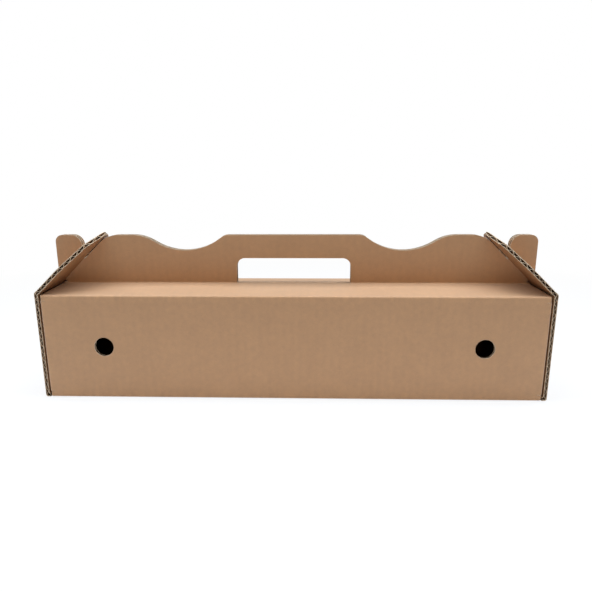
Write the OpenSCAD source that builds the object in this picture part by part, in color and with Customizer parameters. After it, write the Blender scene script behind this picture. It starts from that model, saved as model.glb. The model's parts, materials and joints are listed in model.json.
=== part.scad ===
// Flatbread box: one folded sheet of corrugated board with a carrying handle.
// The front faces -Y, +Z is up, and the origin is the centre of the base's underside.

/* [Box] */
// Width of the front and rear walls
box_w = 400; // [340:1:460]
// Depth from the front face to the rear face
box_d = 76; // [70:1:110]
// Height of the fold between a wall and its half of the roof
wall_h = 86; // [70:1:110]
// Rise of each half of the roof towards the handle, in degrees
roof_pitch = 6; // [3:0.5:9]

/* [Board] */
// Thickness of the corrugated board
board = 3; // [2.4:0.1:3.4]
// Radius inside a scored fold
fold_r = 1; // [0.6:0.1:1.6]
// Radius outside a scored fold
crease_r = 1.6; // [0.8:0.1:3]
// Room between two layers that lie together
layer_gap = 0.4; // [0.3:0.1:0.8]
// Shortening of a fold beside a die-cut corner
end_room = 1; // [0.9:0.1:1.6]

/* [Handle] */
// Height of the handle above the foot of the roof fold
handle_h = 40.7; // [38:0.1:50]
// Width of the hand hole
hole_w = 95.5; // [80:0.5:110]
// Height of the hand hole
hole_h = 21.2; // [17:0.1:24]
// Radius of the hand hole's upper corners
hole_r = 7; // [3:0.5:9]
// Radius of the hand hole's lower corners, at the roof fold
hole_foot_r = 1.5; // [0.5:0.5:3]
// Depth of a finger dip
dip_depth = 12.8; // [11.5:0.1:14.5]
// Radius of a finger dip
dip_r = 48.5; // [44:0.5:52]
// Radius of the shoulder between the dip and the middle of the handle
grip_shoulder_r = 9.5; // [6:0.5:11]
// Radius of the shoulder between the dip and the outer hump
hump_shoulder_r = 34; // [26:1:38]
// Radius of the hump's corner beside the lock notch
hump_corner_r = 18; // [10:1:24]
// Width of the outer hump, between the corners that its shoulder and its notch corner round off
hump_w = 31; // [26:0.5:36]

/* [Ears] */
// Width of the ear at each end of the handle
ear_w = 22; // [20:0.5:26]
// Radius of the ear's outer corner
ear_outer_r = 6; // [4:0.5:9]
// Radius of the ear's inner corner
ear_inner_r = 8.5; // [8:0.5:12]
// Radius of the corners at the bottom of the lock notch
notch_r = 0.8; // [0.4:0.1:1]

/* [Vents] */
// Diameter of a steam vent
vent_d = 15.5; // [10:0.5:20]
// Distance between the two vents
vent_spacing = 303.6; // [200:0.2:320]
// Height of the vents above the base's underside
vent_z = 43.4; // [30:0.2:50]

/* [Corner flaps] */
// Length of a corner flap, from the face of its wall
corner_flap_l = 32; // [20:1:33]
// Distance that a corner flap stops short of the folds above and below it
corner_flap_margin = 1; // [0.5:0.5:4]

/* [Lock flaps] */
// Lean of a lock flap above the level, in degrees
flap_lean = 45; // [43:0.5:48]
// Height of a lock flap's fold above the roof's outer fold
flap_fold_rise = 0.5; // [0:0.5:3]
// Length of a lock flap's side before it narrows to the shoulder
flap_side_l = 27; // [22:1:34]
// Distance that the side has come in where it begins to narrow
flap_side_in = 2.6; // [1:0.2:6]
// Distance that the side has come in at the shoulder
flap_shoulder_in = 14.6; // [8:0.2:20]
// Distance that the middle of the free edge stands past the shoulders
flap_point = 12; // [6:1:14]
// Radius where the side begins to narrow
flap_side_r = 40; // [20:1:50]
// Radius of a shoulder
flap_shoulder_r = 5; // [3:0.5:8]
// Radius of the middle of the free edge
flap_point_r = 10; // [6:1:16]
// Board left between the slot and the free edge
bridge_w = 16.5; // [12:0.5:20]
// Board left between the fold and the slot
root_web = 9; // [7:0.5:11]
// Radius of the slot's corners
slot_r = 1; // [0.5:0.5:2]

/* [Clearances] */
// Room between the flap and the edges of the lock notch
notch_room = 0.6; // [0.4:0.1:1]
// Room between the slot and what swings through it
swing_room = 0.8; // [0.6:0.1:1.4]
// Room between a lock flap's fold and the top of the end panel
hinge_gap = 0.3; // [0.2:0.05:0.5]
// Room between an end panel and the corner flaps behind it
end_gap = 1.2; // [0.4:0.1:1.8]
// Setback of an end panel's raw edges from the front and rear faces
end_setback = 0.4; // [0.2:0.1:1]

/* [Hidden] */
$fn = 96;
arc_step = 6;
overcut = 1;
lap = 2;
fold_lap = 0.4;
slope_ease = 0.97;
board_tone = "#a88666";
flap_tone = "#a58058";

// A fold's outer radius, and the half sizes that every panel is set from
fold_out = fold_r + board;
half_w = box_w / 2;
half_d = box_d / 2;

// Centres of the folds in the section of the front half, as [y, z]
base_fold = [-half_d + fold_out, fold_out];
roof_fold = [-half_d + fold_out, wall_h - fold_out];
foot_y = -layer_gap / 2 - fold_out;
roof_run = (foot_y - roof_fold.x + (fold_out + fold_r) * sin(roof_pitch)) / cos(roof_pitch);
foot_fold = [foot_y, roof_fold.y + roof_run * sin(roof_pitch) + (fold_out + fold_r) * cos(roof_pitch)];
ridge_z = foot_fold.y - fold_r;
handle_top = ridge_z + handle_h;

// End panels, and the fold line of each lock flap
end_in = half_w + end_gap;
end_out = end_in + board;
end_fold_x = end_out - fold_out;
end_d = box_d - 2 * end_setback;
hinge_x = end_in + board / 2;
hinge_z = wall_h + flap_fold_rise;
end_top = hinge_z - board / 2 - hinge_gap;

// The corner flaps lie between the folds of the base and the roof
corner_flap_bottom = fold_out + corner_flap_margin;
corner_flap_top = wall_h - fold_out - corner_flap_margin;

// A point on the right lock flap: s along it from its fold, off out from its middle plane
function on_flap(s, off) = [
    hinge_x - s * cos(flap_lean) + off * sin(flap_lean),
    hinge_z + s * sin(flap_lean) + off * cos(flap_lean)
];

// How far along the lock flap a line beside it reaches a height, or a distance from the middle
function s_at_height(z, off) = (z - hinge_z - off * cos(flap_lean)) / sin(flap_lean);
function s_at_width(x, off) = (hinge_x + off * sin(flap_lean) - x) / cos(flap_lean);

// The two edges of the lock notch lie along the flap, one on each side of it
ear_out = half_w;
ear_in = half_w - ear_w;
notch_off = board / 2 + notch_room;
notch_bottom = s_at_width(ear_in, 0);
ear_foot = on_flap(s_at_width(ear_in, notch_off), notch_off);
hump_corner = on_flap(s_at_height(handle_top, -notch_off), -notch_off);

// The ear's inner corner is no rounder than the ear leaves room for
ear_room = min(handle_top - ear_foot.y - notch_r, ear_w - ear_outer_r - notch_r);
ear_inner_fit = min(ear_inner_r, ear_room);

// The ear swings through the slot, so the slot ends beyond the ear's farthest point from the fold line
ear_corner = [ear_in + ear_inner_fit, handle_top - ear_inner_fit];
ear_reach = norm(ear_corner - [hinge_x, hinge_z]) + ear_inner_fit;
slot_far = ear_reach + swing_room;
slot_w = 2 * board + layer_gap + 2 * swing_room;
flap_len = slot_far + bridge_w;

// The roof narrows to where the underside of a lock flap clears the fold at the handle's foot
roof_end = on_flap(s_at_height(foot_fold.y + notch_room, -board / 2), -board / 2).x;
roof_out = half_w - end_room;

// Slope of the short line between a dip and its shoulder, a little less steep than where the arcs would meet
function dip_slope(shoulder_r) = slope_ease * acos(1 - dip_depth / (dip_r + shoulder_r));
dip_inner_slope = dip_slope(grip_shoulder_r);
dip_outer_slope = dip_slope(hump_shoulder_r);

// A dip's side line meets the handle's top at this distance from the dip's lowest point
function dip_reach(slope) =
    dip_r * sin(slope) + (dip_depth - dip_r * (1 - cos(slope))) / tan(slope);

// The corner that a dip rounds off, where its two side lines cross
dip_x = hump_corner.x - hump_w - dip_reach(dip_outer_slope);
dip_turn = (dip_inner_slope + dip_outer_slope) / 2;
dip_skew = (dip_outer_slope - dip_inner_slope) / 2;
dip_centre = [dip_x, handle_top - dip_depth + dip_r];
dip_corner = dip_centre + dip_r / cos(dip_turn) * [sin(dip_skew), -cos(dip_skew)];

// Corners of the handle's right half as [corner, radius], from the middle to the ear's foot
handle_corners = [
    [[dip_x - dip_reach(dip_inner_slope), handle_top], grip_shoulder_r],
    [dip_corner, dip_r],
    [[dip_x + dip_reach(dip_outer_slope), handle_top], hump_shoulder_r],
    [hump_corner, hump_corner_r],
    [on_flap(notch_bottom, -notch_off), notch_r],
    [on_flap(notch_bottom, notch_off), notch_r],
    [ear_foot, notch_r],
    [[ear_in, handle_top], ear_inner_fit],
    [[ear_out, handle_top], ear_outer_r],
    [[ear_out, foot_fold.y - fold_lap], 0]
];

// Corners of one side of a lock flap as [corner, radius], from the fold to the middle of the free edge
flap_corners = [
    [[0, -end_d / 2], 0],
    [[flap_side_l, flap_side_in - end_d / 2], flap_side_r],
    [[flap_len - flap_point, flap_shoulder_in - end_d / 2], flap_shoulder_r]
];

// Corners of one half of a lock flap's slot as [corner, radius]
slot_corners = [
    [[root_web, -slot_w / 2], slot_r],
    [[slot_far, -slot_w / 2], slot_r]
];

// Corners of the hand hole's right half as [corner, radius]
hole_corners = [
    [[hole_w / 2, ridge_z + hole_h], hole_r],
    [[hole_w / 2, ridge_z], hole_foot_r]
];

// Corners of the right half of the roof's front, seen from above, as [corner, radius]
roof_corners = [
    [[roof_out, -half_d], 0],
    [[roof_out, roof_fold.x + lap], 0],
    [[roof_end, foot_y], 0],
    [[roof_end, 0], 0]
];

function unit(v) = v / norm(v);

// Points of the arc that rounds the corner between two neighbours
function corner_arc(before, corner, after, r) =
    let (
        a = unit(before - corner),
        b = unit(after - corner),
        half = acos(a * b) / 2,
        centre = corner + unit(a + b) * r / sin(half),
        from = corner + a * r / tan(half) - centre,
        to = corner + b * r / tan(half) - centre,
        start = atan2(from.y, from.x),
        turn = (atan2(to.y, to.x) - start + 540) % 360 - 180,
        steps = ceil(abs(turn) / arc_step)
    )
    [for (i = [0:steps]) centre + r * [cos(start + turn * i / steps), sin(start + turn * i / steps)]];

// Outline through a list of [corner, radius], with each corner rounded
function rounded(corners) =
    let (n = len(corners))
    [for (i = [0:n - 1])
        let (c = corners[i])
        each c[1] == 0 ? [c[0]]
            : corner_arc(corners[(i + n - 1) % n][0], c[0], corners[(i + 1) % n][0], c[1])];

// The other half of an outline, as a mirror image that carries on from the end of the first
function other_half(half, flip_x, flip_y) =
    [for (i = [len(half) - 1:-1:0]) [[half[i][0].x * flip_x, half[i][0].y * flip_y], half[i][1]]];

// Sweeps a section drawn in Y and Z along X
module along_x(length) {
    rotate([90, 0, 90]) linear_extrude(length, center = true) children();
}

// Sweeps an outline drawn in X and Z along Y
module along_y(length) {
    rotate([90, 0, 0]) linear_extrude(length, center = true) children();
}

// Section of a fold from one angle to the next, with a radius inside and another outside
module fold_sector(centre, from, to) {
    middle = (from + to) / 2;
    corner = fold_out / cos((to - from) / 2) * [cos(middle), sin(middle)];
    translate(centre) difference() {
        polygon(rounded([
            [[0, 0], 0],
            [fold_out * [cos(from), sin(from)], 0],
            [corner, crease_r],
            [fold_out * [cos(to), sin(to)], 0]
        ]));
        circle(fold_r);
    }
}

// Section of a strip of the roof's front half, from inside its outer fold
module roof_strip(length) {
    translate(roof_fold) rotate(roof_pitch) translate([-fold_lap, fold_r]) square([fold_lap + length, board]);
}

// Section of the front half from the middle of the base up to the start of the roof
module wall_section() {
    translate([base_fold.x, 0]) square([-base_fold.x, board]);
    fold_sector(base_fold, 180, 270);
    translate([-half_d, base_fold.y]) square([board, roof_fold.y - base_fold.y]);
    fold_sector(roof_fold, 90 + roof_pitch, 180);
    roof_strip(lap);
}

// Section of the roof's front half and the fold at the foot of the handle
module roof_section() {
    roof_strip(roof_run + fold_lap);
    fold_sector(foot_fold, -90 + roof_pitch, 0);
}

// Front half of the roof, with its raw ends slanting in under the lock flaps
module roof_half() {
    intersection() {
        along_x(2 * roof_out) roof_section();
        linear_extrude(handle_top)
            polygon(rounded(concat(roof_corners, other_half(roof_corners, -1, 1))));
    }
}

// Corner flap of the front wall at the right, folded back inside the end panel
module corner_flap() {
    flap_h = corner_flap_top - corner_flap_bottom;
    translate([0, 0, corner_flap_bottom]) linear_extrude(flap_h) {
        translate([half_w - fold_out - lap, -half_d]) square([lap, board]);
        fold_sector([half_w - fold_out, -half_d + fold_out], -90, 0);
        translate([half_w - board, -half_d + fold_out]) square([board, corner_flap_l - fold_out]);
    }
}

// One handle panel, standing in front of the middle plane
module handle_panel() {
    translate([0, -(layer_gap + board) / 2, 0]) along_y(board) difference() {
        polygon(rounded(concat(handle_corners, other_half(handle_corners, -1, 1))));
        for (side = [-1, 1])
            translate([side * hinge_x, hinge_z]) circle(root_web + swing_room);
    }
}

// Front wall, its half of the roof, its handle panel and its two corner flaps
module front_half() {
    along_x(box_w - 2 * fold_out) wall_section();
    along_x(2 * roof_out) difference() {
        wall_section();
        translate([-half_d - overcut, corner_flap_bottom])
            square([half_d, corner_flap_top - corner_flap_bottom]);
    }
    roof_half();
    handle_panel();
    corner_flap();
    mirror([1, 0, 0]) corner_flap();
}

// Right end panel, which rises from the short edge of the base outside the corner flaps
module end_panel() {
    along_y(end_d) {
        fold_sector([end_fold_x, fold_out], -90, 0);
        translate([end_in, fold_out]) square([board, end_top - fold_out]);
    }
    along_y(box_d - 2 * fold_out)
        translate([end_fold_x - lap, 0]) square([lap + fold_lap, board]);
}

// Hand hole through both handle panels, down to the roof fold
module hand_hole() {
    along_y(2 * fold_out + layer_gap)
        polygon(rounded(concat(hole_corners, other_half(hole_corners, -1, 1))));
}

// The folded sheet
module carton() {
    color(board_tone) difference() {
        union() {
            front_half();
            mirror([0, 1, 0]) front_half();
            end_panel();
            mirror([1, 0, 0]) end_panel();
        }
        hand_hole();
        for (side = [-1, 1])
            translate([side * vent_spacing / 2, -half_d + board / 2, vent_z])
                rotate([90, 0, 0]) cylinder(d = vent_d, h = board + 2 * overcut, center = true);
    }
}

// Lock flap lying in X and Y with its fold line on the Y axis
module flap_plate() {
    point = [[[flap_len, 0], flap_point_r]];
    linear_extrude(board, center = true) difference() {
        polygon(rounded(concat(flap_corners, point, other_half(flap_corners, 1, -1))));
        polygon(rounded(concat(slot_corners, other_half(slot_corners, 1, -1))));
    }
    rotate([90, 0, 0]) cylinder(d = board, h = end_d, center = true);
}

// Lock flap of the left end, leaning inwards with the handle's ear through its slot
module left_lock_flap() {
    color(flap_tone) translate([-hinge_x, 0, hinge_z]) rotate([0, -flap_lean, 0]) flap_plate();
}

// Lock flap of the right end
module right_lock_flap() {
    color(flap_tone) mirror([1, 0, 0])
        translate([-hinge_x, 0, hinge_z]) rotate([0, -flap_lean, 0]) flap_plate();
}

carton();
left_lock_flap();
right_lock_flap();
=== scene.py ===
"""Flatbread box: one sheet of corrugated board, cut, creased and folded, with two lock flaps that open.

Every piece starts as flat board, two liners with a fluted core between them. It is cut to its outline
and then folded to its place in the frame of the packed part."""

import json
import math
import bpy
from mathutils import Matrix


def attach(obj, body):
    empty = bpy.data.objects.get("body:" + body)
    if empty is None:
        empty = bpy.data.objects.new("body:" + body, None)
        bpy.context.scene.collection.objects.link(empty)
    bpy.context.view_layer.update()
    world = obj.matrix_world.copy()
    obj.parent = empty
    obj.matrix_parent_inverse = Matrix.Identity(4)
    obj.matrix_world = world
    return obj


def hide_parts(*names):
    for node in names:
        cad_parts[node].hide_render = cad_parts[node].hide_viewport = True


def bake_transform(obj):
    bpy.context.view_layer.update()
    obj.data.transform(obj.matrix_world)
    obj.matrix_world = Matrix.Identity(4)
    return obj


bl_info = {
    "name": "Flatbread box",
    "version": (1, 0, 0),
    "blender": (4, 5, 0),
    "location": "View3D > Sidebar > Flatbread box",
    "description": "Builds a folded corrugated box with a carrying handle around its packed frame",
    "category": "Object",
}

import bmesh
import bpy
from mathutils import Matrix, Vector

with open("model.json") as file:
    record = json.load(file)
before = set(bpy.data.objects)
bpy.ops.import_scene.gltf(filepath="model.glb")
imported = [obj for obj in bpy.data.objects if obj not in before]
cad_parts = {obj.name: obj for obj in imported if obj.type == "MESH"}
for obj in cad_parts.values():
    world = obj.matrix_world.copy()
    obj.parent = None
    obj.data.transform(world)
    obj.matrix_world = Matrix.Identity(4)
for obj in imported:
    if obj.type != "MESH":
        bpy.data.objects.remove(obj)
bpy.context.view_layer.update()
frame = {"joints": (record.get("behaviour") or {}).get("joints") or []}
HINGE = {joint["child"]: joint["pos_m"] for joint in frame["joints"]}

# Places of the materials on every piece
OUTER, INNER, FLUTING, RAW_EDGE = range(4)

# How finely outlines, folds and flutes are cut
ARC_STEP = math.radians(6)
CIRCLE_STEPS = 64
FOLD_STEPS = 6
FLUTE_STEPS = 10
SHARP_ANGLE = math.radians(40)

# Lengths in metres: how far a crease shows beside its fold, and two tolerances
CREASE_REACH = 0.003
TINY = 1e-7
SAME_PLACE = 1e-6

QUARTER = math.pi / 2

# The stage: places and sizes in metres, powers in watts, the camera's yaw, pitch and roll in degrees
FLOOR_REACH = 4
FLOOR_DROP = 0.0002
AMBIENT = 0.03
AIM = Vector((0, 0, 0.06))
TOP_LIGHT = {"place": (0.0, 0.02, 1.25), "size": (2.2, 0.7), "power": 30.0, "tint": (0.92, 1.03, 1.17)}
FRONT_LIGHT = {"place": (0.0, -1.6, 0.35), "size": (0.5, 0.5), "power": 1.25, "tint": (1.0, 0.68, 0.3)}
CAMERA_PLACE = (0.0142, -0.41324, 0.17126)
CAMERA_TURNS = (-1.72, 12.8, -0.19)
CAMERA_LENS = 30.14
SENSOR_WIDTH = 36


def length(name, description, default):
    """A size in metres."""
    return bpy.props.FloatProperty(
        name=name, description=description, default=default, unit="LENGTH", precision=4
    )


def angle(name, description, degrees):
    """An angle, written in degrees."""
    return bpy.props.FloatProperty(
        name=name, description=description, default=math.radians(degrees), subtype="ANGLE"
    )


def colour(name, description, default):
    """A linear colour."""
    return bpy.props.FloatVectorProperty(
        name=name, description=description, default=default, size=3, min=0, max=1, subtype="COLOR"
    )


class BoardSettings(bpy.types.PropertyGroup):
    """The corrugated board."""

    thickness: length("Thickness", "Thickness of the board", 0.003)
    liner: length("Liner", "Thickness of each liner", 0.0004)
    core: length("Core paper", "Thickness of the fluted paper", 0.0003)
    pitch: length("Flute pitch", "Distance between two flutes", 0.0063)
    fold_radius: length("Fold radius", "Radius inside a scored fold", 0.001)
    crease_radius: length("Crease radius", "Radius outside a scored fold", 0.0016)
    layer_gap: length("Layer gap", "Room between two layers that lie together", 0.0004)
    edge_bevel: length("Edge bevel", "Width of the worn corner along a cut edge", 0.00015)


class BoxSettings(bpy.types.PropertyGroup):
    """The body of the box."""

    width: length("Width", "Width of the front and rear walls", 0.4)
    depth: length("Depth", "Depth from the front face to the rear face", 0.076)
    wall_height: length("Wall height", "Height of the fold between a wall and the roof", 0.086)
    roof_pitch: angle("Roof pitch", "Rise of each half of the roof", 6)
    end_room: length("End room", "Shortening of a fold beside a die-cut corner", 0.001)
    end_gap: length("End gap", "Room between an end panel and the corner flaps behind it", 0.0012)
    end_setback: length("End setback", "Setback of an end panel's raw edges", 0.0004)
    corner_flap: length("Corner flap", "Length of a corner flap from the wall's face", 0.032)
    corner_margin: length("Corner margin", "Room between a corner flap and the folds", 0.001)
    corner_radius: length("Corner radius", "Radius of a corner flap's corners", 0.004)
    slit: length("Slit", "Width of a slit in the die-cut sheet", 0.0001)
    vent: length("Vent", "Diameter of a steam vent", 0.0155)
    vent_spacing: length("Vent spacing", "Distance between the vents", 0.3036)
    vent_height: length("Vent height", "Height of the vents", 0.0434)
    bow: length("Bow", "How far a wall sags in at its middle", 0.0003)


class HandleSettings(bpy.types.PropertyGroup):
    """The handle and its ears."""

    height: length("Height", "Height of the handle above the roof fold", 0.0407)
    hole_width: length("Hole width", "Width of the hand hole", 0.0955)
    hole_height: length("Hole height", "Height of the hand hole", 0.0212)
    hole_radius: length("Hole radius", "Radius of the hole's upper corners", 0.007)
    tongue: length("Tongue", "Length of roof that stays flat in the hand hole", 0.00404)
    dip_depth: length("Dip depth", "Depth of a finger dip", 0.0128)
    dip_radius: length("Dip radius", "Radius of a finger dip", 0.0485)
    grip_shoulder: length("Grip shoulder", "Radius beside the middle of the handle", 0.0095)
    hump_shoulder: length("Hump shoulder", "Radius between a dip and its hump", 0.034)
    hump_corner: length("Hump corner", "Radius of a hump beside the lock notch", 0.024)
    hump_width: length("Hump width", "Width of a hump between its corners", 0.031)
    slope_ease: bpy.props.FloatProperty(
        name="Slope ease", description="Share of the steepest slope of a dip's side", default=0.97
    )
    ear_width: length("Ear width", "Width of an ear", 0.022)
    ear_outer: length("Ear outer corner", "Radius of an ear's outer corner", 0.006)
    ear_inner: length("Ear inner corner", "Radius of an ear's inner corner", 0.0085)
    notch_radius: length("Notch corner", "Radius in the bottom of a lock notch", 0.0008)


class FlapSettings(bpy.types.PropertyGroup):
    """The lock flaps."""

    lean: angle("Lean", "Lean of a lock flap above the level", 45)
    side: length("Side", "Length of a flap's side before it narrows", 0.027)
    side_in: length("Side in", "How far the side has come in there", 0.0026)
    shoulder_in: length("Shoulder in", "How far the side has come in at the shoulder", 0.0146)
    point: length("Point", "How far the free edge stands past the shoulders", 0.012)
    side_radius: length("Side radius", "Radius where the side begins to narrow", 0.04)
    shoulder_radius: length("Shoulder radius", "Radius of a shoulder", 0.005)
    point_radius: length("Point radius", "Radius of the middle of the free edge", 0.01)
    bridge: length("Bridge", "Board between the slot and the free edge", 0.0165)
    root_web: length("Root web", "Board between the fold and the slot", 0.009)
    slot_radius: length("Slot corner", "Radius of the slot's corners", 0.001)
    notch_room: length("Notch room", "Room between the flap and the notch", 0.0006)
    swing_room: length("Swing room", "Room between the slot and the ear", 0.0008)
    fold_reach: length("Fold reach", "Length of the strip on each side of the fold line", 0.0045)
    fold_bend: length("Fold bend", "Length of the bend on each side of the fold line", 0.0028)


class FinishSettings(bpy.types.PropertyGroup):
    """Colours of the board and the stage."""

    brown: colour("Brown board", "Middle tone of the outer liner", (0.52, 0.28, 0.13))
    # The inner liner is darker paper, and its tone is set darker still as painted shade for the
    # undersides of the lock flaps, where it shows
    inner: colour("Inner liner", "Middle tone of the darker inner liner", (0.34, 0.175, 0.078))
    fluting: colour("Fluting", "Fluted paper in the core", (0.5, 0.34, 0.21))
    raw_edge: colour("Raw edge", "Cut edges of the paper", (0.7, 0.53, 0.36))
    floor: colour("Floor", "Studio floor", (0.97, 0.97, 0.97))


class FlatbreadBoxSettings(bpy.types.PropertyGroup):
    """All the settings of the box."""

    board: bpy.props.PointerProperty(type=BoardSettings)
    box: bpy.props.PointerProperty(type=BoxSettings)
    handle: bpy.props.PointerProperty(type=HandleSettings)
    flap: bpy.props.PointerProperty(type=FlapSettings)
    finish: bpy.props.PointerProperty(type=FinishSettings)


class Fold:
    """A scored fold in section: round inside, and with a tighter corner outside."""

    def __init__(self, board, turn):
        self.inside, self.outside = board.fold_radius, board.fold_radius + board.thickness
        self.thickness, self.turn = board.thickness, turn
        self.half = abs(turn) / 2
        self.corner = board.crease_radius
        self.centre = (self.outside - self.corner) / math.cos(self.half)
        self.flat = math.atan(self.centre * math.sin(self.half) / self.outside)
        self.length = (self.inside + self.thickness / 2) * abs(turn)

    def radius(self, turned, off):
        """Distance from the fold's centre after part of its turn, off the middle of the board."""
        away = abs(turned - self.half)
        if away > self.half - self.flat:
            reach = self.outside / math.cos(self.half - away)
        else:
            leg = self.centre * math.sin(away)
            reach = self.centre * math.cos(away) + math.sqrt(self.corner**2 - leg**2)
        depth = 0.5 + off / self.thickness * (1 if self.turn < 0 else -1)
        return self.inside + depth * (reach - self.inside)

    def lines(self):
        """Shares of the fold's length where it is cut across, closest together round its corner."""
        first = self.flat / abs(self.turn)
        middle = [first + (1 - 2 * first) * i / FOLD_STEPS for i in range(FOLD_STEPS + 1)]
        return [0, first / 2, *middle, 1 - first / 2, 1]


class FoldedPath:
    """The middle of a strip of board seen in section, through flat runs and folds.

    A run is a length or a Fold, and the outer face is on the left of the way."""

    def __init__(self, start, heading, runs):
        self.starts, self.runs = [0.0], []
        point = Vector(start)
        for run in runs:
            at, ahead = self.starts[-1], Vector((math.cos(heading), math.sin(heading)))
            self.runs.append((at, point, heading, run))
            if isinstance(run, Fold):
                centre = point + self.to_centre(heading, run)
                heading += run.turn
                point = centre - self.to_centre(heading, run)
                self.starts.append(at + run.length)
            else:
                point = point + run * ahead
                self.starts.append(at + run)

    @staticmethod
    def to_centre(heading, fold):
        """From the middle of the board to the centre of a fold."""
        middle = math.copysign(fold.inside + fold.thickness / 2, fold.turn)
        return middle * Vector((-math.sin(heading), math.cos(heading)))

    def run_at(self, at):
        """The run that a distance along the path falls in."""
        for i in range(len(self.runs) - 1, 0, -1):
            if self.runs[i][0] <= at:
                return i
        return 0

    def place(self, at, off, run=None):
        """The point at a distance along the path and off it. A flat run that is named is carried on."""
        start, point, heading, kind = self.runs[self.run_at(at) if run is None else run]
        if not isinstance(kind, Fold):
            ahead = Vector((math.cos(heading), math.sin(heading)))
            left = Vector((-math.sin(heading), math.cos(heading)))
            return point + (at - start) * ahead + off * left
        turned = abs(kind.turn) * (at - start) / kind.length
        centre = point + self.to_centre(heading, kind)
        heading += math.copysign(turned, kind.turn)
        out = math.copysign(kind.radius(turned, off), kind.turn)
        return centre - out * Vector((-math.sin(heading), math.cos(heading)))

    def folds(self):
        """Each fold with its start along the path."""
        return [(start, kind) for start, _, _, kind in self.runs if isinstance(kind, Fold)]

    def fold_cuts(self):
        """Lines across the strip where the folds bend and where their creases fade out."""
        lines = []
        for start, fold in self.folds():
            lines += [start - CREASE_REACH, start + fold.length + CREASE_REACH]
            lines += [start + fold.length * share for share in fold.lines()]
        return lines

    def crease(self, at):
        """How creased the board is, from 0 on the flat to 1 along the middle of a fold."""
        worn = 0.0
        for start, fold in self.folds():
            reach = fold.length / 2
            worn = max(worn, 1 - abs(at - start - reach) / (reach + CREASE_REACH))
        return worn


def rounded(corners):
    """Outline through a list of (corner, radius), with each corner rounded."""
    points = []
    for i, (corner, radius) in enumerate(corners):
        corner = Vector(corner)
        if not radius:
            points.append(corner)
            continue
        before = (Vector(corners[i - 1][0]) - corner).normalized()
        after = (Vector(corners[(i + 1) % len(corners)][0]) - corner).normalized()
        half = before.angle(after) / 2
        centre = corner + (before + after).normalized() * radius / math.sin(half)
        first = corner + before * radius / math.tan(half) - centre
        last = corner + after * radius / math.tan(half) - centre
        start = math.atan2(first.y, first.x)
        turn = (math.atan2(last.y, last.x) - start + math.pi) % math.tau - math.pi
        steps = math.ceil(abs(turn) / ARC_STEP)
        points += arc(centre, radius, start, start + turn, steps)
    return points


def arc(centre, radius, start, end, steps):
    """Points along an arc."""
    turns = [start + (end - start) * i / steps for i in range(steps + 1)]
    return [Vector(centre) + radius * Vector((math.cos(a), math.sin(a))) for a in turns]


def with_mirror(half, flip_u, flip_v):
    """A half outline and its mirror image as one ring."""
    return half + [((c[0] * flip_u, c[1] * flip_v), r) for c, r in reversed(half)]


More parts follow.
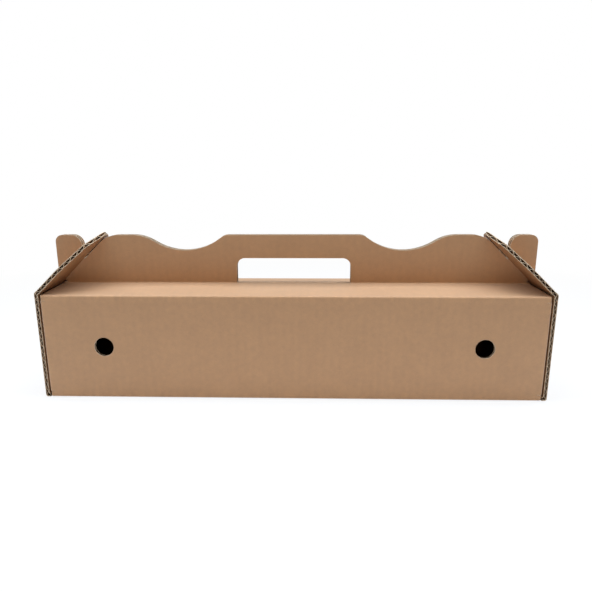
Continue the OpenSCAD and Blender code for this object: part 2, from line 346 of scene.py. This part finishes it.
class Layout:
    """The sizes that follow from the settings, named as in the part's source."""

    def __init__(self, settings):
        board, box, handle, flap = settings.board, settings.box, settings.handle, settings.flap
        thick, gap = board.thickness, board.layer_gap
        self.fold_out = board.fold_radius + thick
        self.half_w, self.half_d = box.width / 2, box.depth / 2
        self.roof_fold_z = box.wall_height - self.fold_out
        self.fold_y = self.half_d - self.fold_out
        self.foot_y = gap / 2 + self.fold_out
        both = self.fold_out + board.fold_radius
        rise, run = math.sin(box.roof_pitch), math.cos(box.roof_pitch)
        self.roof_run = (self.fold_y - self.foot_y + both * rise) / run
        self.foot_z = self.roof_fold_z + self.roof_run * rise + both * run
        self.ridge_z = self.foot_z - board.fold_radius
        self.top = self.ridge_z + handle.height
        self.end_fold_x = self.half_w + box.end_gap + thick - self.fold_out
        self.end_d = box.depth - 2 * box.end_setback
        self.hinge_x, self.hinge_z = -HINGE["left_lock_flap"][0], HINGE["left_lock_flap"][2]
        self.lean = flap.lean
        self.corner_bottom = self.fold_out + box.corner_margin
        self.corner_top = box.wall_height - self.fold_out - box.corner_margin

        self.ear_in = self.half_w - handle.ear_width
        off = thick / 2 + flap.notch_room
        ear_foot = self.on_flap(self.at_width(self.ear_in, off), off)
        hump_corner = self.on_flap(self.at_height(self.top, -off), -off)
        bottom = self.at_width(self.ear_in, 0)
        ear_corner = Vector((self.ear_in + handle.ear_inner, self.top - handle.ear_inner))
        reach = (ear_corner - Vector((self.hinge_x, self.hinge_z))).length + handle.ear_inner
        self.slot_far = reach + flap.swing_room
        self.slot_w = 2 * thick + gap + 2 * flap.swing_room
        self.flap_len = self.slot_far + flap.bridge
        under = self.at_height(self.foot_z + flap.notch_room, -thick / 2)
        self.roof_end = self.on_flap(under, -thick / 2).x
        self.relief = flap.root_web + flap.swing_room

        inner, outer = (
            handle.slope_ease * math.acos(1 - handle.dip_depth / (handle.dip_radius + shoulder))
            for shoulder in (handle.grip_shoulder, handle.hump_shoulder)
        )

        def dip_reach(slope):
            straight = handle.dip_depth - handle.dip_radius * (1 - math.cos(slope))
            return handle.dip_radius * math.sin(slope) + straight / math.tan(slope)

        dip_x = hump_corner.x - handle.hump_width - dip_reach(outer)
        turn, skew = (inner + outer) / 2, (outer - inner) / 2
        dip_centre = Vector((dip_x, self.top - handle.dip_depth + handle.dip_radius))
        to_corner = Vector((math.sin(skew), -math.cos(skew)))
        dip_corner = dip_centre + handle.dip_radius / math.cos(turn) * to_corner
        self.handle_corners = [
            ((self.half_w, self.top), handle.ear_outer),
            ((self.ear_in, self.top), handle.ear_inner),
            (ear_foot, handle.notch_radius),
            (self.on_flap(bottom, off), handle.notch_radius),
            (self.on_flap(bottom, -off), handle.notch_radius),
            (hump_corner, handle.hump_corner),
            ((dip_x + dip_reach(outer), self.top), handle.hump_shoulder),
            (dip_corner, handle.dip_radius),
            ((dip_x - dip_reach(inner), self.top), handle.grip_shoulder),
        ]

    def on_flap(self, along, off):
        """A point on the right lock flap in X and Z."""
        cos, sin = math.cos(self.lean), math.sin(self.lean)
        x = self.hinge_x - along * cos + off * sin
        z = self.hinge_z + along * sin + off * cos
        return Vector((x, z))

    def at_height(self, z, off):
        """How far along the right lock flap its points off the middle reach a height."""
        return (z - self.hinge_z - off * math.cos(self.lean)) / math.sin(self.lean)

    def at_width(self, x, off):
        """How far along the right lock flap its points off the middle reach a width."""
        return (self.hinge_x + off * math.sin(self.lean) - x) / math.cos(self.lean)


def cut_across(bm, axis, lines):
    """Cuts the mesh along lines at right angles to an axis."""
    normal = Vector((axis == 0, axis == 1, 0))
    for line in lines:
        whole = bm.verts[:] + bm.edges[:] + bm.faces[:]
        bmesh.ops.bisect_plane(bm, geom=whole, dist=TINY, plane_co=normal * line, plane_no=normal)


def plate(rings, low, high):
    """A closed flat plate between two levels, with an outline and holes."""
    bm = bmesh.new()
    for ring in rings:
        corners = [bm.verts.new((u, v, low)) for u, v in ring]
        for first, second in zip(corners, corners[1:] + corners[:1]):
            bm.edges.new((first, second))
    bmesh.ops.triangle_fill(
        bm, use_beauty=True, use_dissolve=False, edges=bm.edges[:], normal=(0, 0, 1)
    )
    grown = bmesh.ops.extrude_face_region(bm, geom=bm.faces[:])
    lifted = [v for v in grown["geom"] if isinstance(v, bmesh.types.BMVert)]
    bmesh.ops.translate(bm, verts=lifted, vec=(0, 0, high - low))
    bmesh.ops.recalc_face_normals(bm, faces=bm.faces[:])
    return bm


def as_mesh(bm, name):
    """A new mesh from a bmesh, which is freed."""
    mesh = bpy.data.meshes.new(name)
    bm.to_mesh(mesh)
    bm.free()
    return mesh


def liner(rings, low, high, face, bevel, joins):
    """One paper liner, with the material of its open face and raw paper along its cut edges."""
    bm = plate(rings, low, high)
    shown = high if face == OUTER else low

    def on_line(edge, axis, line):
        return all(abs(v.co[axis] - line) < SAME_PLACE for v in edge.verts)

    rim = []
    for edge in bm.edges:
        at_side = min(abs(f.normal.z) for f in edge.link_faces) < 0.5
        if at_side and on_line(edge, 2, shown) and not any(on_line(edge, *join) for join in joins):
            rim.append(edge)
    bmesh.ops.bevel(
        bm,
        geom=rim,
        offset=bevel,
        offset_type="OFFSET",
        segments=2,
        profile=0.5,
        affect="EDGES",
        material=-1,
    )
    bm.normal_update()
    for part in bm.faces:
        if abs(part.normal.z) <= 0.99:
            part.material_index = RAW_EDGE
        elif abs(part.calc_center_median().z - shown) < SAME_PLACE:
            part.material_index = face
        else:
            part.material_index = FLUTING
    return as_mesh(bm, "liner")


def fluted_core(rings, board, materials):
    """The fluted paper between the liners, cut to the same outline."""
    us = [u for u, _ in rings[0]]
    vs = [v for _, v in rings[0]]
    margin = board.pitch
    low_u, low_v = min(us) - margin, min(vs) - margin
    span_u, span_v = max(us) + margin - low_u, max(vs) + margin - low_v
    swing = (board.thickness - 2 * board.liner - board.core) / 2
    steps = math.ceil(span_u / board.pitch * FLUTE_STEPS)
    bm = bmesh.new()
    bmesh.ops.create_grid(bm, x_segments=steps, y_segments=1, size=0.5)
    for v in bm.verts:
        u = low_u + (v.co.x + 0.5) * span_u
        wave = swing * math.sin(math.tau * u / board.pitch)
        v.co = (u, low_v + (v.co.y + 0.5) * span_v, wave - board.core / 2)
    bmesh.ops.solidify(bm, geom=bm.faces[:], thickness=-board.core)
    bmesh.ops.recalc_face_normals(bm, faces=bm.faces[:])
    for part in bm.faces:
        part.material_index = FLUTING
    sheet = as_mesh(bm, "fluting")
    cutter = plate(rings, -board.thickness, board.thickness)
    for part in cutter.faces:
        part.material_index = RAW_EDGE
    cutter = as_mesh(cutter, "cutter")
    objects = []
    for mesh in (sheet, cutter):
        for material in materials:
            mesh.materials.append(material)
        objects.append(bpy.data.objects.new(mesh.name, mesh))
        bpy.context.scene.collection.objects.link(objects[-1])
    cut = objects[0].modifiers.new("cut", "BOOLEAN")
    cut.operation, cut.solver, cut.object = "INTERSECT", "EXACT", objects[1]
    cut.material_mode = "INDEX"
    graph = bpy.context.evaluated_depsgraph_get()
    core = bpy.data.meshes.new_from_object(objects[0].evaluated_get(graph))
    for done in objects:
        mesh = done.data
        bpy.data.objects.remove(done)
        bpy.data.meshes.remove(mesh)
    return core


def board_piece(name, rings, joins, cuts, place, flat_at, crease_at, mirror=(1, 1, 1)):
    """A piece of corrugated board: cut flat to its outline, scored across, then folded to its place.

    joins are the lines (axis, place) where the board runs on into the next piece, cuts the lines
    across u and across v, place gives a flat point's place in the frame, flat_at its place on the
    sheet, and crease_at how creased it is there."""
    board = bpy.context.scene.flatbread_box.board
    materials = board_materials()
    half = board.thickness / 2
    layers = [
        liner(rings, half - board.liner, half, OUTER, board.edge_bevel, joins),
        liner(rings, -half, board.liner - half, INNER, board.edge_bevel, joins),
        fluted_core(rings, board, materials),
    ]
    bm = bmesh.new()
    for layer in layers:
        bm.from_mesh(layer)
        bpy.data.meshes.remove(layer)
    for axis, lines in enumerate(cuts):
        cut_across(bm, axis, lines)
    flat = bm.verts.layers.float_vector.new("flat")
    crease = bm.verts.layers.float.new("crease")
    for v in bm.verts:
        u, along, off = v.co
        v[flat] = flat_at(u, along, off)
        v[crease] = crease_at(u, along)
        v.co = [a * b for a, b in zip(place(u, along, off), mirror)]
    if math.prod(mirror) < 0:
        bmesh.ops.reverse_faces(bm, faces=bm.faces[:])
    bm.normal_update()
    for part in bm.faces:
        part.smooth = True
    for edge in bm.edges:
        raw = [part.material_index == RAW_EDGE for part in edge.link_faces]
        edge.smooth = all(raw) == any(raw) and edge.calc_face_angle(0.0) < SHARP_ANGLE
    mesh = as_mesh(bm, name)
    for material in materials:
        mesh.materials.append(material)
    piece = bpy.data.objects.new(name, mesh)
    bpy.context.scene.collection.objects.link(piece)
    return piece


def node(tree, kind, inputs=None, **settings):
    """A shader node with its inputs linked or set."""
    made = tree.nodes.new("ShaderNode" + kind)
    for name, value in settings.items():
        setattr(made, name, value)
    for name, value in (inputs or {}).items():
        if isinstance(value, bpy.types.NodeSocket):
            tree.links.new(value, made.inputs[name])
        else:
            made.inputs[name].default_value = value
    return made


def noise(tree, vector, scale, detail=3.0, roughness=0.55):
    """A cloudy pattern from 0 to 1."""
    inputs = {"Vector": vector, "Scale": scale, "Detail": detail, "Roughness": roughness}
    return node(tree, "TexNoise", inputs).outputs["Fac"]


def math_node(tree, operation, first, second, third=0.0):
    """The result of one step of arithmetic."""
    return node(tree, "Math", {0: first, 1: second, 2: third}, operation=operation).outputs[0]


def summed(tree, start, shares):
    """A start value plus a share of each pattern."""
    total = start
    for pattern, share in shares:
        total = math_node(tree, "MULTIPLY_ADD", pattern, share, total)
    return total


def ramp(tree, value, low, high):
    """Carries a value from a range to 0 to 1."""
    inputs = {"Value": value, "From Min": low, "From Max": high}
    return node(tree, "MapRange", inputs).outputs["Result"]


def mixed(tree, factor, first, second):
    """A blend of two colours."""
    return node(tree, "Mix", {0: factor, 6: first, 7: second}, data_type="RGBA").outputs[2]


def bump(tree, height, strength, distance, normal=None):
    """A bumped normal, over another one if it is given."""
    inputs = {"Height": height, "Strength": strength, "Distance": distance}
    if normal is not None:
        inputs["Normal"] = normal
    return node(tree, "Bump", inputs).outputs["Normal"]


def shade(rgb, times):
    """A colour made darker or paler."""
    return (*(min(1.0, c * times) for c in rgb), 1.0)


def start_material(name):
    """A new material with its node tree and its shader."""
    material = bpy.data.materials.new(name)
    material.use_nodes = True
    tree = material.node_tree
    shader = tree.nodes["Principled BSDF"]
    return material, tree, shader


def liner_material(name, rgb, crease_wear, sheen):
    """Liner paper: cloudy, fibrous and flecked, with the flutes showing faintly through it."""
    pitch = bpy.context.scene.flatbread_box.board.pitch
    material, tree, shader = start_material(name)
    flat = node(tree, "Attribute", attribute_name="flat").outputs["Vector"]
    crease = node(tree, "Attribute", attribute_name="crease").outputs["Fac"]
    clouds = noise(tree, flat, scale=45)
    blotches = noise(tree, flat, scale=260, detail=4)
    along_grain = node(tree, "Mapping", {"Vector": flat, "Scale": (500, 3200, 1)}).outputs["Vector"]
    fibres = noise(tree, along_grain, scale=1, detail=4, roughness=0.65)
    flecks = noise(tree, flat, scale=1500, detail=2)
    # At a scale of 1 the wave texture repeats every tau / 20 metres
    wave = {"Vector": flat, "Scale": math.tau / 20 / pitch}
    wave |= {"Distortion": 0.6, "Detail": 2.0, "Detail Scale": 0.4}
    bands = {"wave_type": "BANDS", "bands_direction": "X", "wave_profile": "SIN"}
    flutes = node(tree, "TexWave", wave, **bands).outputs["Fac"]
    tone = summed(tree, -0.25, ((clouds, 0.5), (blotches, 0.7), (fibres, 0.5), (flutes, 0.06)))
    tone = ramp(tree, tone, low=0.05, high=0.95)
    paper = mixed(tree, tone, shade(rgb, 0.86), shade(rgb, 1.14))
    dark_flecks = math_node(tree, "MULTIPLY", ramp(tree, flecks, low=0.66, high=0.74), 0.35)
    paper = mixed(tree, dark_flecks, paper, shade(rgb, 0.5))
    pale_flecks = math_node(tree, "MULTIPLY", ramp(tree, flecks, low=0.36, high=0.28), 0.25)
    paper = mixed(tree, pale_flecks, paper, shade(rgb, 1.5))
    worn = math_node(tree, "MULTIPLY", ramp(tree, blotches, low=0.3, high=0.7), crease)
    worn = math_node(tree, "MULTIPLY", worn, crease_wear)
    paper = mixed(tree, worn, paper, shade(rgb, 1.5))
    tree.links.new(paper, shader.inputs["Base Color"])
    rough = summed(tree, 0.56, [(ramp(tree, blotches, low=0.2, high=0.8), 0.14)])
    tree.links.new(rough, shader.inputs["Roughness"])
    shader.inputs["Specular IOR Level"].default_value = 0.5
    shader.inputs["Sheen Weight"].default_value = sheen
    shader.inputs["Sheen Roughness"].default_value = 0.5
    shader.inputs["Sheen Tint"].default_value = (1.0, 0.93, 0.84, 1.0)
    board_waves = bump(tree, flutes, strength=0.5, distance=0.00005)
    grain = bump(tree, fibres, strength=0.5, distance=0.00004, normal=board_waves)
    tree.links.new(grain, shader.inputs["Normal"])
    return material


def paper_material(name, rgb):
    """Plain fluting paper or a raw cut edge, with coarse fibres."""
    material, tree, shader = start_material(name)
    flat = node(tree, "Attribute", attribute_name="flat").outputs["Vector"]
    fibres = noise(tree, flat, scale=2200, detail=4, roughness=0.7)
    patches = noise(tree, flat, scale=300, detail=2)
    tone = summed(tree, -0.1, ((fibres, 0.7), (patches, 0.5)))
    tone = ramp(tree, tone, low=0.15, high=0.85)
    paper = mixed(tree, tone, shade(rgb, 0.72), shade(rgb, 1.28))
    tree.links.new(paper, shader.inputs["Base Color"])
    shader.inputs["Roughness"].default_value = 0.9
    shader.inputs["Specular IOR Level"].default_value = 0.25
    grain = bump(tree, fibres, strength=0.6, distance=0.00006)
    tree.links.new(grain, shader.inputs["Normal"])
    return material


def board_materials():
    """The four finishes of a piece, made once."""
    finish = bpy.context.scene.flatbread_box.finish
    makers = {
        "brown_liner": lambda name: liner_material(name, finish.brown, crease_wear=0.15, sheen=0.6),
        # The inner liner's darker tone is partly real paper and partly painted shade for the lock
        # flaps' undersides
        "inner_liner": lambda name: liner_material(name, finish.inner, crease_wear=0.2, sheen=0.0),
        "fluting_paper": lambda name: paper_material(name, finish.fluting),
        "raw_edge": lambda name: paper_material(name, finish.raw_edge),
    }
    return [bpy.data.materials.get(name) or make(name) for name, make in makers.items()]


def spaced(low, high, count):
    """Even places between two limits, without the limits."""
    return [low + (high - low) * i / count for i in range(1, count)]


def circle(centre, diameter):
    """Points round a circle."""
    last = math.tau * (CIRCLE_STEPS - 1) / CIRCLE_STEPS
    return arc(centre, diameter / 2, 0, last, CIRCLE_STEPS - 1)


def wall_piece(name, front):
    """A wall with its half of the roof, its handle panel and its corner flaps.

    The front wall also has the base."""
    settings = bpy.context.scene.flatbread_box
    board, box, handle = settings.board, settings.box, settings.handle
    lay = Layout(settings)
    roof_turn = QUARTER - box.roof_pitch
    base = 2 * lay.fold_y if front else 0.0
    runs = [base] if front else []
    runs += [
        Fold(board, -QUARTER),
        lay.roof_fold_z - lay.fold_out,
        Fold(board, -roof_turn),
        lay.roof_run,
        Fold(board, roof_turn),
        lay.top - lay.foot_z,
    ]
    path = FoldedPath((base - lay.fold_y, board.thickness / 2), math.pi, runs)
    wall, roof_fold, roof, foot, grip = path.starts[-6:-1]
    corner = Fold(board, -QUARTER)
    corner_x = lay.half_w - lay.fold_out
    corner_bend = corner.length
    flap_end = corner_x + corner_bend + box.corner_flap - lay.fold_out
    fold_x = lay.half_w - box.end_room

    def at_wall(z):
        return wall + z - lay.fold_out

    def at_grip(z):
        return grip + z - lay.foot_z

    bottom, top = at_wall(lay.corner_bottom), at_wall(lay.corner_top)
    hinge = Vector((lay.hinge_x, at_grip(lay.hinge_z)))
    rise = math.asin((grip - hinge.y) / lay.relief)
    side = math.acos((lay.hinge_x - lay.half_w) / lay.relief)
    half = [((lay.end_fold_x, 0), 0), ((lay.end_fold_x, base), 0)] if front else []
    half += [
        ((fold_x, base), 0),
        ((fold_x, bottom - box.slit), 0),
        ((corner_x, bottom - box.slit), 0),
        ((corner_x, bottom), 0),
        ((flap_end, bottom), box.corner_radius),
        ((flap_end, top), box.corner_radius),
        ((corner_x, top), 0),
        ((corner_x, top + box.slit), 0),
        ((fold_x, top + box.slit), 0),
        ((fold_x, roof), 0),
        ((lay.roof_end, foot), 0),
        ((lay.roof_end, grip), 0),
    ]
    half += [(p, 0) for p in arc(hinge, lay.relief, math.pi - rise, math.pi - side, steps=12)]
    half += [((c[0], at_grip(c[1])), r) for c, r in lay.handle_corners]
    hole_x, tongue_x = handle.hole_width / 2, handle.hole_width / 2 - box.slit
    hole = [
        ((tongue_x, foot + handle.tongue), 0),
        ((tongue_x, foot), 0),
        ((hole_x, foot), 0),
        ((hole_x, at_grip(lay.ridge_z + handle.hole_height)), handle.hole_radius),
    ]
    rings = [rounded(with_mirror(half, -1, 1)), rounded(with_mirror(hole, -1, 1))]
    if front:
        for x in (-box.vent_spacing / 2, box.vent_spacing / 2):
            rings.append(circle((x, at_wall(box.vent_height)), box.vent))

    bend_cuts = [corner_x + corner_bend * share for share in corner.lines()]
    bend_cuts += [corner_x - CREASE_REACH, corner_x + corner_bend + CREASE_REACH]
    across = spaced(-corner_x, corner_x, count=12) + bend_cuts + [-u for u in bend_cuts]
    along = path.fold_cuts() + spaced(wall, roof_fold, count=6) + [foot + handle.tongue]

    def in_flap_rows(at):
        return bottom - TINY < at < top + TINY

    def place(u, at, off):
        beside = abs(u) - corner_x
        if beside > TINY and in_flap_rows(at):
            turned = min(beside / corner_bend, 1.0) * QUARTER
            out = corner.radius(turned, off)
            x = corner_x + out * math.sin(turned)
            y = -lay.fold_y - out * math.cos(turned) + max(0.0, beside - corner_bend)
            return math.copysign(x, u), y, lay.fold_out + at - wall
        in_tongue = foot < at < foot + handle.tongue + TINY and abs(u) < tongue_x + TINY
        y, z = path.place(at, off, path.run_at(roof + TINY) if in_tongue else None)
        if wall < at < roof_fold:
            up = (at - wall) / (roof_fold - wall)
            y += box.bow * math.cos(QUARTER * u / lay.half_w) * math.sin(math.pi * up)
        return u, y, z

    def flat_at(u, at, off):
        v = at - lay.fold_y if front else -at - lay.fold_y
        return u, v, off

    def crease_at(u, at):
        reach = corner_bend / 2
        side_crease = 1 - abs(abs(u) - corner_x - reach) / (reach + CREASE_REACH)
        return max(path.crease(at), side_crease if in_flap_rows(at) else 0.0)

    joins = [(1, 0.0)]
    if front:
        joins += [(0, -lay.end_fold_x), (0, lay.end_fold_x)]
    mirror = (1, 1 if front else -1, 1)
    return board_piece(name, rings, joins, (across, along), place, flat_at, crease_at, mirror)


def end_piece(name, side):
    """An end panel that rises from the base."""
    settings = bpy.context.scene.flatbread_box
    board, flap = settings.board, settings.flap
    lay = Layout(settings)
    runs = [Fold(board, -QUARTER), lay.hinge_z - flap.fold_reach - lay.fold_out]
    path = FoldedPath((-lay.end_fold_x, board.thickness / 2), math.pi, runs)
    end, half = path.starts[-1], lay.end_d / 2
    ring = [Vector(p) for p in ((0, -half), (end, -half), (end, half), (0, half))]

    def place(at, y, off):
        x, z = path.place(at, off)
        return x, y, z

    def flat_at(at, y, off):
        return side * (lay.end_fold_x + at), y, off

    def crease_at(at, y):
        return path.crease(at)

    joins = [(0, 0.0), (0, end)]
    cuts = (path.fold_cuts(), [])
    mirror = (-side, 1, 1)
    return board_piece(name, [ring], joins, cuts, place, flat_at, crease_at, mirror)


def flap_place(lay, turn):
    """Where a flat point of the left lock flap lies, turned from upright about its fold line."""

    def place(at, y, off):
        lean = turn(at)
        x = -lay.hinge_x + at * math.sin(lean) - off * math.cos(lean)
        z = lay.hinge_z + at * math.cos(lean) + off * math.sin(lean)
        return x, y, z

    return place


def flap_flat(lay, side):
    """Where a point of a lock flap lies on the flat sheet."""
    return lambda at, y, off: (side * (lay.end_fold_x + lay.hinge_z + at), y, off)


def lock_flap(name, side):
    """A lock flap from the end of its fold to its free edge, with the slot for the ear."""
    settings = bpy.context.scene.flatbread_box
    flap = settings.flap
    lay = Layout(settings)
    half = lay.end_d / 2
    slope = flap.side_in / flap.side
    start = flap.fold_reach
    edge = [
        ((start, start * slope - half), 0),
        ((flap.side, flap.side_in - half), flap.side_radius),
        ((lay.flap_len - flap.point, flap.shoulder_in - half), flap.shoulder_radius),
    ]
    far_side = [((c[0], -c[1]), r) for c, r in reversed(edge)]
    edge += [((lay.flap_len, 0), flap.point_radius)] + far_side
    slot = [
        ((flap.root_web, -lay.slot_w / 2), flap.slot_radius),
        ((lay.slot_far, -lay.slot_w / 2), flap.slot_radius),
    ]
    rings = [rounded(edge), rounded(with_mirror(slot, 1, -1))]
    lean = QUARTER - flap.lean
    place = flap_place(lay, lambda at: lean)

    def crease_at(at, y):
        return 0.0

    joins = [(0, start)]
    cuts = ([], [])
    mirror = (-side, 1, 1)
    return board_piece(name, rings, joins, cuts, place, flap_flat(lay, side), crease_at, mirror)


def flap_fold(name, side):
    """The strip that bends between an end panel and its lock flap."""
    settings = bpy.context.scene.flatbread_box
    flap = settings.flap
    lay = Layout(settings)
    half, reach = lay.end_d / 2, flap.fold_reach
    narrow = half - reach * flap.side_in / flap.side
    edge = [(-reach, -half), (0, -half), (reach, -narrow)]
    ring = [Vector(p) for p in edge] + [Vector((u, -v)) for u, v in reversed(edge)]
    lean = QUARTER - flap.lean

    def turn(at):
        t = min(1.0, max(0.0, (at + flap.fold_bend) / (2 * flap.fold_bend)))
        return lean * t * t * (3 - 2 * t)

    bent = flap_place(lay, turn)
    outer = -lay.hinge_x - settings.board.thickness / 2

    def place(at, y, off):
        x, y, z = bent(at, y, off)
        return max(x, outer), y, z

    def crease_at(at, y):
        return max(0.0, 1 - abs(at) / reach)

    bend = flap.fold_bend
    cuts = (spaced(-bend, bend, count=14) + [-bend, bend], [])
    joins = [(0, -reach), (0, reach)]
    mirror = (-side, 1, 1)
    return board_piece(name, [ring], joins, cuts, place, flap_flat(lay, side), crease_at, mirror)


class FLATBREAD_OT_walls(bpy.types.Operator):
    """Builds the front wall with the base, and the rear wall, each with its roof, handle and flaps"""

    bl_idname = "flatbread.walls"
    bl_label = "Walls, roof and handle"

    def execute(self, context):
        for name, front in (("front_sheet", True), ("rear_sheet", False)):
            piece = wall_piece(name, front)
            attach(piece, "carton")
            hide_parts("carton")
        return {"FINISHED"}


class FLATBREAD_OT_end_panels(bpy.types.Operator):
    """Builds the two end panels"""

    bl_idname = "flatbread.end_panels"
    bl_label = "End panels"

    def execute(self, context):
        for name, side in (("left_end_panel", -1), ("right_end_panel", 1)):
            piece = end_piece(name, side)
            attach(piece, "carton")
        return {"FINISHED"}


class FLATBREAD_OT_lock_flaps(bpy.types.Operator):
    """Builds the two lock flaps and the folds that carry them"""

    bl_idname = "flatbread.lock_flaps"
    bl_label = "Lock flaps"

    def execute(self, context):
        settings = context.scene.flatbread_box
        lay = Layout(settings)
        bend = settings.flap.fold_bend
        for body, side in (("left_lock_flap", -1), ("right_lock_flap", 1)):
            piece = lock_flap(body.replace("lock_flap", "flap_board"), side)
            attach(piece, body)
            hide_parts(body)
            fold = flap_fold(body.replace("lock_flap", "flap_fold"), side)
            above = lay.on_flap(bend, 0)
            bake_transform(fold)
        return {"FINISHED"}


class FLATBREAD_OT_stage(bpy.types.Operator):
    """Sets up the floor, the soft light and the camera"""

    bl_idname = "flatbread.stage"
    bl_label = "Stage"

    def execute(self, context):
        scene = context.scene
        scene.view_settings.view_transform = "Standard"
        add_floor(scene.flatbread_box.finish.floor)
        add_world()
        add_soft_light("top_light", **TOP_LIGHT)
        add_soft_light("front_light", **FRONT_LIGHT)
        add_camera(scene)
        return {"FINISHED"}


def sees_backdrop(tree):
    """1 for rays from the camera and for reflections, 0 for the light that falls on the box."""
    path = node(tree, "LightPath").outputs
    seen = math_node(tree, "MAXIMUM", path["Is Camera Ray"], path["Is Glossy Ray"])
    return math_node(tree, "MAXIMUM", seen, path["Is Transmission Ray"])


def add_floor(rgb):
    """A pale floor that shows white and keeps a light shadow."""
    bm = bmesh.new()
    bmesh.ops.create_grid(bm, x_segments=1, y_segments=1, size=FLOOR_REACH)
    bmesh.ops.translate(bm, verts=bm.verts[:], vec=(0, 0, -FLOOR_DROP))
    mesh = as_mesh(bm, "studio_floor")
    floor = bpy.data.objects.new("studio_floor", mesh)
    bpy.context.scene.collection.objects.link(floor)
    material, tree, shader = start_material("studio_floor")
    shader.inputs["Roughness"].default_value = 0.9
    white = node(tree, "Emission", {"Color": (1, 1, 1, 1), "Strength": 1.0}).outputs[0]
    place = node(tree, "TexCoord").outputs["Object"]
    away = node(tree, "VectorMath", {0: place}, operation="LENGTH").outputs["Value"]
    whiter = {"Value": away, "From Min": 0.2, "From Max": 0.8, "To Min": 0.8, "To Max": 1.0}
    white_share = node(tree, "MapRange", whiter).outputs["Result"]
    far = ramp(tree, away, low=0.35, high=0.9)
    tone = mixed(tree, far, (*rgb, 1.0), shade(rgb, 0.5))
    tree.links.new(tone, shader.inputs["Base Color"])
    share = math_node(tree, "MULTIPLY", sees_backdrop(tree), white_share)
    both = node(tree, "MixShader", {0: share, 1: shader.outputs[0], 2: white}).outputs[0]
    tree.links.new(both, tree.nodes["Material Output"].inputs["Surface"])
    mesh.materials.append(material)


def add_world():
    """Even white surroundings that light the box more softly than they look."""
    world = bpy.data.worlds.new("studio_world")
    world.use_nodes = True
    tree = world.node_tree
    back = tree.nodes["Background"]
    back.inputs["Color"].default_value = (1, 1, 1, 1)
    strength = math_node(tree, "MULTIPLY_ADD", sees_backdrop(tree), 1 - AMBIENT, AMBIENT)
    tree.links.new(strength, back.inputs["Strength"])
    bpy.context.scene.world = world


def add_soft_light(name, place, size, power, tint):
    """A soft box that points at the middle of the part."""
    light = bpy.data.lights.new(name, "AREA")
    light.shape = "RECTANGLE"
    light.size, light.size_y = size
    light.energy = power
    light.color = tint
    lamp = bpy.data.objects.new(name, light)
    lamp.location = place
    lamp.rotation_euler = (AIM - Vector(place)).to_track_quat("-Z", "Y").to_euler()
    bpy.context.scene.collection.objects.link(lamp)


def add_camera(scene):
    """A camera at the viewing angle of the photograph, for a square picture."""
    camera = bpy.data.cameras.new("camera")
    camera.sensor_width = SENSOR_WIDTH
    camera.sensor_fit = "HORIZONTAL"
    camera.lens = CAMERA_LENS
    eye = bpy.data.objects.new("camera", camera)
    eye.location = CAMERA_PLACE
    yaw, pitch, roll = (math.radians(turn) for turn in CAMERA_TURNS)
    level_share = math.cos(pitch)
    ahead = Vector((math.sin(yaw) * level_share, math.cos(yaw) * level_share, -math.sin(pitch)))
    right = Vector((math.cos(yaw), -math.sin(yaw), 0))
    up = right.cross(ahead)
    level = right * math.cos(roll) + up * math.sin(roll)
    over = up * math.cos(roll) - right * math.sin(roll)
    eye.rotation_euler = Matrix((level, over, -ahead)).transposed().to_euler()
    scene.collection.objects.link(eye)
    scene.camera = eye


class FLATBREAD_PT_sidebar(bpy.types.Panel):
    """Lists the settings and the building steps"""

    bl_idname = "FLATBREAD_PT_sidebar"
    bl_label = "Flatbread box"
    bl_space_type = "VIEW_3D"
    bl_region_type = "UI"
    bl_category = "Flatbread box"

    def draw(self, context):
        settings = context.scene.flatbread_box
        parts = (settings.board, settings.box, settings.handle, settings.flap, settings.finish)
        for group in parts:
            column = self.layout.column(heading=group.__doc__ or "")
            for name in group.__annotations__:
                column.prop(group, name)
        for operator in STEPS:
            self.layout.operator(operator.bl_idname)


STEPS = (FLATBREAD_OT_walls, FLATBREAD_OT_end_panels, FLATBREAD_OT_lock_flaps, FLATBREAD_OT_stage)
CLASSES = (
    BoardSettings,
    BoxSettings,
    HandleSettings,
    FlapSettings,
    FinishSettings,
    FlatbreadBoxSettings,
    *STEPS,
    FLATBREAD_PT_sidebar,
)


def register():
    for cls in CLASSES:
        bpy.utils.register_class(cls)
    bpy.types.Scene.flatbread_box = bpy.props.PointerProperty(type=FlatbreadBoxSettings)


def unregister():
    del bpy.types.Scene.flatbread_box
    for cls in reversed(CLASSES):
        bpy.utils.unregister_class(cls)


def main():
    register()
    bpy.ops.flatbread.walls()
    bpy.ops.flatbread.end_panels()
    bpy.ops.flatbread.lock_flaps()
    bpy.ops.flatbread.stage()


if __name__ == "__main__":
    main()
